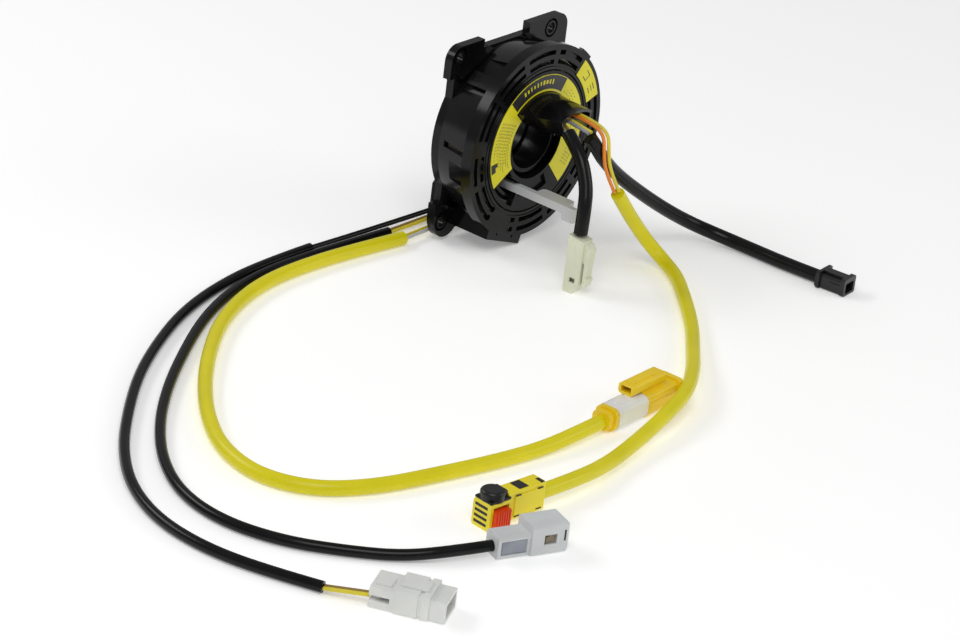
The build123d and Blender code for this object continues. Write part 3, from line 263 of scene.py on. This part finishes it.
nodeFinish = {
    "stator_housing": "drumBlack", "front_cover": "drumBlack", "lead_outlet": "drumBlack",
    "rotor": "rotorBlack", "rotor_retainer": "rotorBlack", "cable_horn": "drumBlack",
    "turn_label": "labelYellow", "rotor_label": "labelYellow", "lock_pin": "pinGrey",
    "stator_terminal_block": "terminalNatural", "rotor_terminal_block": "terminalNatural",
    "ribbon_cable": "ribbonFilm", "short_plug": "plugCream", "switch_plug": "plugBlack",
    "inner_plug": "plugMilk", "outer_plug": "plugWhite", "outer_tail_left": "wireYellow",
    "outer_tail_right": "wireBrown", "supply_plug": "plugYellow", "supply_plug_lock": "lockWhite",
    "squib_plug": "squibYellow", "squib_cap": "plugBlack", "squib_lock": "lockRed",
}
for node, look in nodeFinish.items():
    materials = bpy.data.objects[node].data.materials
    materials.clear()
    materials.append(finish[look])
print("finishes made")

# Leads and wires, in millimetres; each pair of wires runs beside one middle route

lead = {"sleeve": 7.0, "thinSleeve": 5.2, "wire": 1.8, "fineWire": 1.4, "pairGap": 2.1, "airbagGap": 2.4,
        "rootDepth": 27.8, "turnStart": 50.0, "turnEnd": 67.0}
tubeShape = {"steps": 14, "sides": 6, "order": 3}
leadLevel = floorHeight + lead["sleeve"] / 2
thinLevel = floorHeight + lead["thinSleeve"] / 2


def routeCurve(name, points, diameter, look):
    data = bpy.data.curves.new(name, "CURVE")
    data.dimensions = "3D"
    data.resolution_u = tubeShape["steps"]
    data.bevel_depth = diameter * mm / 2
    data.bevel_resolution = tubeShape["sides"]
    data.use_fill_caps = True
    spline = data.splines.new("NURBS")
    spline.points.add(len(points) - 1)
    for point, place in zip(spline.points, points):
        point.co = (*(value * mm for value in place), 1)
    spline.use_endpoint_u = True
    spline.order_u = tubeShape["order"]
    data.materials.append(finish[look])
    cable = bpy.data.objects.new(name, data)
    scene.collection.objects.link(cable)
    return cable


def lineOf(cable):
    data = cable.data
    thickness = data.bevel_depth
    data.bevel_depth = 0  # without its thickness the curve gives its middle line
    bpy.context.view_layer.update()
    graph = bpy.context.evaluated_depsgraph_get()
    mesh = bpy.data.meshes.new_from_object(cable.evaluated_get(graph))
    line = [vertex.co.copy() for vertex in mesh.vertices]
    bpy.data.meshes.remove(mesh)
    data.bevel_depth = thickness
    bpy.context.view_layer.update()
    return line


def asTube(cable):
    line = lineOf(cable)
    graph = bpy.context.evaluated_depsgraph_get()
    mesh = bpy.data.meshes.new_from_object(cable.evaluated_get(graph))
    name = cable.name
    look = cable.data.materials[0]
    bpy.data.objects.remove(cable)
    tube = bpy.data.objects.new(name, mesh)
    if not mesh.materials:
        mesh.materials.append(look)
    for face in mesh.polygons:
        face.use_smooth = len(face.vertices) == 4  # the end caps stay flat
    scene.collection.objects.link(tube)
    return tube, line


# A free lead lies still: it belongs to the stator from end to end
def freeLead(name, cord):
    cable = routeCurve(name, cord["points"], cord["diameter"], cord["look"])
    line = lineOf(cable)
    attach(cable, "stator")
    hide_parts(*cord["replaced"])


# A turning lead is made into a mesh tube, with its place baked into the mesh
def turningLead(name, cord):
    tube, line = asTube(routeCurve(name, cord["points"], cord["diameter"], cord["look"]))
    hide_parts(*cord["replaced"])
    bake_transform(tube)


# The two wires of a pair, each half the gap away from the pair's middle route
def wiresOf(pair):
    for side, (node, look) in zip((-0.5, 0.5), pair["looks"].items()):
        step = Vector(pair["spread"]).normalized() * (side * pair["gap"])
        wire = {"points": [tuple(Vector(point) + step) for point in pair["points"]],
                "diameter": pair["diameter"], "look": look, "farEnd": "object", "lay": pair["lay"],
                "carried": [], "replaced": [node + ending for ending in pair["endings"]]}
        yield node.replace("_", "") + "Run", wire


shortLead = {
    "diameter": lead["sleeve"], "look": "sleeveBlack", "farEnd": "plug", "lay": "hanging",
    "replaced": ["short_lead_root", "short_lead"], "carried": ["short_plug"],
    "points": [(-12.2, -57.8, 16.9), (-15.9, -69.0, 11.1), (-19.0, -77.5, -2.0), (-23.6, -81.4, -12.5),
               (-25.0, -82.0, -24.0)],
}
shortWires = {
    "diameter": lead["wire"], "gap": lead["pairGap"], "spread": (0.82, 0, 0.57), "lay": "hanging",
    "looks": {"short_wire_left": "wireGrey", "short_wire_right": "wireBrown"}, "endings": [""],
    "points": [(-9.9, -lead["rootDepth"], 20.2), (-9.9, -41.0, 20.1), (-10.0, -50.5, 19.6),
               (-12.0, -57.2, 17.2)],
}
turningLead("shortLead", shortLead)
for name, wire in wiresOf(shortWires):
    tube = asTube(routeCurve(name, wire["points"], wire["diameter"], wire["look"]))[0]
    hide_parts(*wire["replaced"])
    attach(tube, "rotor")  # the short pair turns with the rotor from end to end

switchLead = {
    "diameter": lead["sleeve"], "look": "sleeveBlack", "farEnd": "plug", "lay": "hanging",
    "replaced": ["switch_lead"], "carried": ["switch_plug"],
    "points": [(-7.4, -67.4, 16.8), (-4.6, -69.4, 12.6), (1.6, -71.0, 3.8), (14.0, -71.5, -7.0),
               (31.0, -73.0, -19.4), (51.0, -76.0, -33.0), (69.0, -80.5, -44.0),
               (80.0, -94.0, leadLevel + 1.0), (82.0, -114.0, leadLevel), (82.0, -134.0, leadLevel),
               (83.5, -152.0, leadLevel)],
}
switchWires = {
    "diameter": lead["wire"], "gap": lead["pairGap"], "spread": (1, 0, 0), "lay": "hanging",
    "looks": {"switch_wire_grey": "wireGrey", "switch_wire_yellow": "wireYellow"}, "endings": [""],
    "points": [(-4.8, -lead["rootDepth"], 21.95), (-4.6, -48.0, 20.6), (-7.0, -66.8, 19.0)],
}
freeLead("switchLead", switchLead)
for name, wire in wiresOf(switchWires):
    turningLead(name, wire)

airbagWires = {
    "diameter": lead["wire"], "gap": lead["airbagGap"], "spread": (0.85, -0.5, 0.15), "lay": "hanging",
    "looks": {"airbag_wire_orange": "wireOrange", "airbag_wire_yellow": "wireYellow"},
    "endings": ["", "_root"],
    "points": [(3.2, -lead["rootDepth"], 22.3), (3.3, -35.0, 21.9), (3.4, -46.0, 20.5), (2.9, -61.5, 19.8),
               (-0.1, -71.5, 18.2), (-3.2, -75.2, 11.0), (-3.6, -77.3, 2.5), (3.0, -80.0, -10.0)],
}
airbagLead = {
    "diameter": lead["sleeve"], "look": "sleeveYellow", "farEnd": "connector", "lay": "loose",
    "replaced": ["airbag_lead"], "carried": ["squib_plug", "squib_cap"],
    "points": [(3.8, -80.1, -11.0), (12.0, -80.8, -21.5), (21.0, -82.0, -32.5), (29.0, -85.5, -43.0),
               (31.0, -94.0, -49.4), (24.0, -107.5, leadLevel + 0.2), (11.0, -121.5, leadLevel),
               (-4.0, -136.5, leadLevel), (-20.0, -151.0, leadLevel + 0.3), (-39.0, -165.5, leadLevel + 1.5),
               (-61.0, -182.0, leadLevel + 4.5), (-85.0, -196.4, leadLevel + 6.0),
               (-111.0, -203.5, leadLevel + 4.5), (-136.0, -208.0, leadLevel + 2.0),
               (-162.0, -212.5, leadLevel + 1.0), (-189.0, -216.5, leadLevel + 4.0),
               (-215.0, -213.6, leadLevel + 4.0)],
}
for name, wire in wiresOf(airbagWires):
    turningLead(name, wire)
freeLead("airbagLead", airbagLead)

supplyLead = {
    "diameter": lead["sleeve"], "look": "sleeveYellow", "farEnd": "connector", "lay": "loose",
    "replaced": ["supply_lead"], "carried": ["supply_plug", "supply_plug_lock"],
    "points": [(-53.0, 4.0, leadLevel), (-83.0, 8.5, leadLevel), (-113.0, 11.5, leadLevel),
               (-143.0, 11.0, leadLevel), (-171.0, 4.0, leadLevel), (-197.0, -8.0, leadLevel),
               (-222.0, -25.0, leadLevel), (-247.0, -45.5, leadLevel), (-270.0, -69.0, leadLevel),
               (-288.0, -95.0, leadLevel), (-294.0, -122.0, leadLevel), (-284.0, -146.0, leadLevel),
               (-261.0, -161.0, leadLevel), (-232.0, -170.0, leadLevel), (-203.0, -178.0, leadLevel),
               (-176.0, -183.5, leadLevel), (-154.0, -185.5, leadLevel + 1.2),
               (-134.0, -185.0, leadLevel + 1.2)],
}
outerLead = {
    "diameter": lead["thinSleeve"], "look": "sleeveBlack", "farEnd": "connector", "lay": "loose",
    "replaced": ["outer_lead"], "carried": ["outer_tail_left", "outer_tail_right", "outer_plug"],
    "points": [(-98.0, 25.0, thinLevel), (-134.0, 26.0, thinLevel), (-171.0, 21.0, thinLevel),
               (-204.0, 11.0, thinLevel), (-235.0, -4.0, thinLevel), (-264.0, -21.0, thinLevel),
               (-292.0, -42.0, thinLevel), (-320.0, -66.0, thinLevel), (-342.0, -92.0, thinLevel),
               (-355.0, -120.0, thinLevel), (-358.0, -149.0, thinLevel), (-353.0, -178.0, thinLevel),
               (-343.5, -205.0, thinLevel)],
}
innerLead = {
    "diameter": lead["thinSleeve"], "look": "sleeveBlack", "farEnd": "connector", "lay": "loose",
    "replaced": ["inner_lead"], "carried": ["inner_plug"],
    "points": [(-52.0, 14.5, thinLevel), (-80.0, 16.8, thinLevel), (-109.0, 19.0, thinLevel),
               (-140.0, 19.2, thinLevel), (-170.0, 12.8, thinLevel), (-200.0, 0.5, thinLevel),
               (-232.0, -18.0, thinLevel), (-263.0, -38.0, thinLevel), (-291.0, -60.0, thinLevel),
               (-315.0, -85.0, thinLevel), (-331.0, -112.0, thinLevel), (-335.0, -140.0, thinLevel),
               (-328.0, -167.0, thinLevel), (-314.0, -189.0, thinLevel), (-298.0, -208.0, thinLevel),
               (-280.0, -221.5, thinLevel + 2.0), (-263.0, -228.5, thinLevel + 2.0)],
}
freeLead("supplyLead", supplyLead)
freeLead("outerLead", outerLead)
freeLead("innerLead", innerLead)

supplyWires = {
    "diameter": lead["wire"], "gap": lead["pairGap"], "spread": (0, 1, 0), "lay": "loose",
    "looks": {"supply_wire_left": "wireWhite", "supply_wire_right": "wireYellow"}, "endings": [""],
    "points": [(-10.0, 5.0, leadLevel), (-52.65, 3.95, leadLevel)],
}
innerWires = {
    "diameter": lead["wire"], "gap": lead["pairGap"], "spread": (0, 1, 0), "lay": "loose",
    "looks": {"inner_wire_left": "wireYellow", "inner_wire_right": "wireBrown"}, "endings": [""],
    "points": [(-10.0, 13.0, leadLevel), (-51.65, 14.47, thinLevel)],
}
outerWires = {
    "diameter": lead["fineWire"], "gap": lead["pairGap"], "spread": (0, 1, 0), "lay": "loose",
    "looks": {"outer_wire_left": "wireBlack", "outer_wire_right": "wireBlack"}, "endings": [""],
    "points": [(-10.0, 18.2, leadLevel), (-54.0, 21.5, thinLevel), (-97.65, 24.99, thinLevel)],
}
for pair in (supplyWires, innerWires, outerWires):
    for name, wire in wiresOf(pair):
        freeLead(name, wire)
print("leads laid")

# Print on the labels: radii and depths in millimetres, angles in degrees round the drum's axis

labelPrint = {"depth": 30.27, "sheetStep": 2, "fewestSteps": 2}
labelBand = {"inner": 27.2, "outer": 34.4, "start": 57, "end": 133, "signInner": 29.6, "signTip": 31.2,
             "signStart": 188, "signMiddle": 192.5, "signEnd": 197}
labelText = {
    "rowHeight": 0.42, "rowPitch": 1.28, "dashPitch": 1.5, "dashShare": 0.8, "seed": 4,
    "shortest": (0.45, 0.7, 1),
    "longNote": {"rows": range(6), "inner": 22.4, "spread": 1, "start": 146, "startStep": 0.6, "end": 203,
                 "cycle": 3, "endStep": 5, "seed": 0},
    "shortNote": {"rows": range(6, 9), "inner": 22.4, "spread": 1, "start": 146, "startStep": 0.6,
                  "end": 184, "cycle": 2, "endStep": 6, "seed": 0},
    "lowerNote": {"rows": range(5), "inner": 26.6, "spread": 1, "start": -36, "startStep": 0, "end": 8,
                  "cycle": 2, "endStep": 9, "seed": 20},
    "upperNote": {"rows": range(3), "inner": 28.4, "spread": 1.3, "start": 33, "startStep": 0, "end": 51,
                  "cycle": 3, "endStep": 4, "seed": 40},
    "headline": {"radius": 31.0, "start": 76, "end": 116, "pitch": 2.1, "height": 2.5, "depth": 30.29,
                 "seed": 60},
}
turnMarks = {"innerStroke": (41.2, 41.7), "middleStroke": (43.4, 43.8), "outerStroke": (45.2, 45.7),
             "firstMark": (35.5, 40.5), "secondMark": (23.5, 28.5), "upright": (41.2, 45.7, 35.3, 35.9)}


def arcSheet(mesh, inner, outer, start, end):
    steps = max(labelPrint["fewestSteps"], int(abs(end - start) / labelPrint["sheetStep"]))
    rows = []
    for step in range(steps + 1):
        angle = radians(start + (end - start) * step / steps)
        across, up = cos(angle) * mm, sin(angle) * mm
        rows.append([mesh.verts.new((radius * across, -labelPrint["depth"] * mm, radius * up))
                     for radius in (inner, outer)])
    for here, there in zip(rows, rows[1:]):
        mesh.faces.new((here[0], here[1], there[1], there[0]))


def addSheets(name, sheets, body):
    mesh = bmesh.new()
    for sheet in sheets:
        arcSheet(mesh, *sheet)
    for face in mesh.faces:
        face.normal_update()
        if face.normal.y > 0:
            face.normal_flip()
    data = bpy.data.meshes.new(name)
    mesh.to_mesh(data)
    mesh.free()
    data.materials.append(finish["labelInk"])
    piece = bpy.data.objects.new(name, data)
    scene.collection.objects.link(piece)
    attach(piece, body)


# Geometry Nodes: one row of dashes along an arc, each of its own random length
def dashTree():
    tree = bpy.data.node_groups.new("dashRow", "GeometryNodeTree")
    sockets = {"Radius": "NodeSocketFloat", "Start": "NodeSocketFloat", "Sweep": "NodeSocketFloat",
               "Count": "NodeSocketInt", "Length": "NodeSocketFloat", "Height": "NodeSocketFloat",
               "Depth": "NodeSocketFloat", "Seed": "NodeSocketInt", "Ink": "NodeSocketMaterial"}
    tree.interface.new_socket("Geometry", in_out="INPUT", socket_type="NodeSocketGeometry")
    for label, kind in sockets.items():
        tree.interface.new_socket(label, in_out="INPUT", socket_type=kind)
    tree.interface.new_socket("Geometry", in_out="OUTPUT", socket_type="NodeSocketGeometry")
    nodes, links = tree.nodes, tree.links
    given = nodes.new("NodeGroupInput")
    result = nodes.new("NodeGroupOutput")
    arc = nodes.new("GeometryNodeCurveArc")
    links.new(given.outputs["Count"], arc.inputs["Resolution"])
    links.new(given.outputs["Radius"], arc.inputs["Radius"])
    links.new(given.outputs["Start"], arc.inputs["Start Angle"])
    links.new(given.outputs["Sweep"], arc.inputs["Sweep Angle"])
    tangent = nodes.new("GeometryNodeInputTangent")
    align = nodes.new("FunctionNodeAlignRotationToVector")
    align.axis = "X"
    links.new(tangent.outputs[0], align.inputs["Vector"])
    dash = nodes.new("GeometryNodeMeshGrid")
    dash.inputs["Vertices X"].default_value = 2
    dash.inputs["Vertices Y"].default_value = 2
    links.new(given.outputs["Length"], dash.inputs["Size X"])
    links.new(given.outputs["Height"], dash.inputs["Size Y"])
    chance = nodes.new("FunctionNodeRandomValue")
    chance.data_type = "FLOAT_VECTOR"
    chance.inputs[0].default_value = labelText["shortest"]
    chance.inputs[1].default_value = (1, 1, 1)
    links.new(given.outputs["Seed"], chance.inputs["Seed"])
    place = nodes.new("GeometryNodeInstanceOnPoints")
    links.new(arc.outputs[0], place.inputs["Points"])
    links.new(dash.outputs["Mesh"], place.inputs["Instance"])
    links.new(align.outputs[0], place.inputs["Rotation"])
    links.new(chance.outputs[0], place.inputs["Scale"])
    real = nodes.new("GeometryNodeRealizeInstances")
    links.new(place.outputs[0], real.inputs[0])
    shift = nodes.new("ShaderNodeCombineXYZ")
    links.new(given.outputs["Depth"], shift.inputs["Y"])
    turn = nodes.new("GeometryNodeTransform")
    turn.inputs["Rotation"].default_value = (pi / 2, 0, 0)
    links.new(real.outputs[0], turn.inputs["Geometry"])
    links.new(shift.outputs[0], turn.inputs["Translation"])
    paint = nodes.new("GeometryNodeSetMaterial")
    links.new(turn.outputs[0], paint.inputs["Geometry"])
    links.new(given.outputs["Ink"], paint.inputs["Material"])
    links.new(paint.outputs[0], result.inputs[0])
    return tree


dashes = dashTree()


def dashRow(radius, start, end, pitch, height, depth, look, seed):
    holder = bpy.data.objects.new("dashHolder", bpy.data.meshes.new("dashHolder"))
    scene.collection.objects.link(holder)
    modifier = holder.modifiers.new("dashRow", "NODES")
    modifier.node_group = dashes
    count = max(2, int(abs(end - start) * pi / 180 * radius / pitch))
    values = {"Radius": radius * mm, "Start": radians(start), "Sweep": radians(end - start), "Count": count,
              "Length": pitch * labelText["dashShare"] * mm, "Height": height * mm, "Depth": -depth * mm,
              "Seed": seed, "Ink": finish[look]}
    for item in dashes.interface.items_tree:
        if item.item_type == "SOCKET" and item.in_out == "INPUT" and item.name in values:
            modifier[item.identifier] = values[item.name]
    bpy.context.view_layer.update()
    graph = bpy.context.evaluated_depsgraph_get()
    mesh = bpy.data.meshes.new_from_object(holder.evaluated_get(graph))
    holder.modifiers.clear()
    bpy.data.objects.remove(holder)
    return mesh


def noteRows(note):
    rows = []
    for row in note["rows"]:
        radius = note["inner"] + row * labelText["rowPitch"] * note["spread"]
        end = note["end"] - row % note["cycle"] * note["endStep"]
        rows.append(dashRow(radius, note["start"] + row * note["startStep"], end, labelText["dashPitch"],
                            labelText["rowHeight"], labelPrint["depth"], "labelInk",
                            labelText["seed"] + note["seed"] + row))
    return rows


def headlineRow(line):
    return dashRow(line["radius"], line["start"], line["end"], line["pitch"], line["height"], line["depth"],
                   "labelYellow", labelText["seed"] + line["seed"])


def joined(name, meshes, body):
    total = bmesh.new()
    looks = []
    for mesh in meshes:
        slots = {}
        for index, look in enumerate(mesh.materials):
            if look not in looks:
                looks.append(look)
            slots[index] = looks.index(look)
        for face in mesh.polygons:
            face.material_index = slots.get(face.material_index, 0)
        total.from_mesh(mesh)
        bpy.data.meshes.remove(mesh)
    data = bpy.data.meshes.new(name)
    total.to_mesh(data)
    total.free()
    for look in looks:
        data.materials.append(look)
    piece = bpy.data.objects.new(name, data)
    scene.collection.objects.link(piece)
    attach(piece, body)


def bandSheets(band):
    return [(band["inner"], band["outer"], band["start"], band["end"]),
            (band["signInner"], band["outer"], band["signStart"], band["signMiddle"]),
            (band["signTip"], band["outer"], band["signMiddle"], band["signEnd"])]


def markSheets(marks):
    first, second = marks["firstMark"], marks["secondMark"]
    return [(*marks["innerStroke"], *first), (*marks["outerStroke"], *first), marks["upright"],
            (*marks["innerStroke"], *second), (*marks["middleStroke"], *second),
            (*marks["outerStroke"], *second)]


addSheets("labelBand", bandSheets(labelBand), "rotor")
textRows = []
for note in ("longNote", "shortNote", "lowerNote", "upperNote"):
    textRows.extend(noteRows(labelText[note]))
textRows.append(headlineRow(labelText["headline"]))
joined("labelText", textRows, "rotor")
addSheets("turnMarks", markSheets(turnMarks), "stator")
print("labels printed")

# Small plates and terminals of the plugs, and blocks of painted shade in their slots, vents, open ends and
# hollows, in millimetres from each plug's cable end on the floor;
# each detail is its centre, its size, its finish and, where it isn't the usual one, the radius of its edges

edgeShape = {"radius": 0.25, "largestShare": 0.35, "segments": 2, "profile": 0.5}


def plugFrame(plug):
    corner = Vector((*plug["start"], floorHeight)) * mm
    return Matrix.Translation(corner) @ Matrix.Rotation(radians(plug["heading"]), 4, "Z")


def block(place, centre, size, look, radius=edgeShape["radius"]):
    total = bmesh.new()
    bmesh.ops.create_cube(total, size=1)
    bmesh.ops.scale(total, vec=tuple(value * mm for value in size), verts=total.verts)
    offset = min(radius, min(size) * edgeShape["largestShare"]) * mm
    bmesh.ops.bevel(total, geom=total.edges[:], offset=offset, segments=edgeShape["segments"],
                    affect="EDGES", profile=edgeShape["profile"])
    shift = Matrix.Translation(tuple(value * mm for value in centre))
    bmesh.ops.transform(total, matrix=place @ shift, verts=total.verts)
    mesh = bpy.data.meshes.new("block")
    total.to_mesh(mesh)
    total.free()
    mesh.materials.append(finish[look])
    return mesh


def addTrim(name, plug):
    place = plugFrame(plug)
    joined(name, [block(place, *detail) for detail in plug["details"]], "stator")


squibTrim = {
    "start": (-215.0, -213.6), "heading": 173.64,
    "slotPlaces": (3.6, 16.8), "slotHeights": (3.4, 13.4), "slotSide": 5.0, "slotSize": (3.2, 0.3, 0.7),
    "ventEnd": (33.5, -0.4), "ventFoot": 2.4, "ventPitch": 2.7, "ventCount": 4, "ventSize": (0.3, 7.6, 1.3),
    "details": [((12.3, 0.2, 15.2), (5.6, 6.4, 0.4), "ventDark"),
                ((1.5, 2.0, 15.2), (2.0, 4.0, 0.4), "ventDark"),
                ((27.4, 0, 13.5), (12.2, 10.4, 1.2), "plugBlack", 0.4)],
}
# the slots and vents are thin blocks of painted shade
for along in squibTrim["slotPlaces"]:
    for height in squibTrim["slotHeights"]:
        slotSpot = (along, squibTrim["slotSide"], height)
        squibTrim["details"].append((slotSpot, squibTrim["slotSize"], "ventDark"))
for step in range(squibTrim["ventCount"]):
    ventSpot = (*squibTrim["ventEnd"], squibTrim["ventFoot"] + step * squibTrim["ventPitch"])
    squibTrim["details"].append((ventSpot, squibTrim["ventSize"], "ventDark"))
addTrim("squibTrim", squibTrim)

# the hollow flank and the front slot get blocks of painted shade
innerPlugTrim = {
    "start": (-263.0, -228.5), "heading": -22.38,
    "details": [((7.75, -4.95, 5.25), (11.4, 0.5, 6.0), "milkShade"),
                ((24.5, -5.4, 7.25), (5.4, 0.6, 4.0), "terminalBrass"),
                ((23.2, -5.9, 7.0), (1.4, 0.8, 3.0), "terminalBrass"),
                ((31.4, -6.75, 8.4), (0.9, 0.16, 5.2), "ventDark")],
}
addTrim("innerPlugTrim", innerPlugTrim)

outerPlugTrim = {
    "start": (-330.3, -221.3), "heading": -66.0,
    "details": [((22.4, 0, 4.75), (0.6, 13.6, 6.1), "mouthCream"),
                ((18.0, 0, 11.1), (12.0, 9.0, 1.2), "plugWhite", 0.4),
                ((5.0, -1.0, 9.6), (7.0, 8.0, 0.9), "plugWhite", 0.3)],
}
addTrim("outerPlugTrim", outerPlugTrim)

supplyPlugTrim = {
    "start": (-134.0, -185.0), "heading": 1.43,
    "details": [((17.0, 0, 10.9), (12.0, 5.0, 0.9), "lockWhite", 0.3),
                ((40.0, -6.1, 5.5), (22.0, 0.5, 3.4), "plugYellow", 0.2),
                ((31.0, 2.0, 16.9), (18.0, 4.2, 0.5), "plugYellow", 0.2)],
}
addTrim("supplyPlugTrim", supplyPlugTrim)

shortPlugTrim = {
    "start": (-25.0, -82.5), "heading": 0,
    "details": [((-2.2, -0.5, 7.0), (1.0, 2.6, 2.0), "terminalBrass"),
                ((-3.95, 1.2, 20.0), (0.3, 3.4, 12.0), "plugCream", 0.1)],
}
addTrim("shortPlugTrim", shortPlugTrim)

switchPlugTrim = {
    "start": (83.5, -152.0), "heading": -85.24,
    "details": [((12.0, -4.95, 4.4), (8.0, 0.8, 2.0), "plugBlack"),
                ((12.0, 4.95, 4.4), (8.0, 0.8, 2.0), "plugBlack")],
}
addTrim("switchPlugTrim", switchPlugTrim)
print("plug details added")
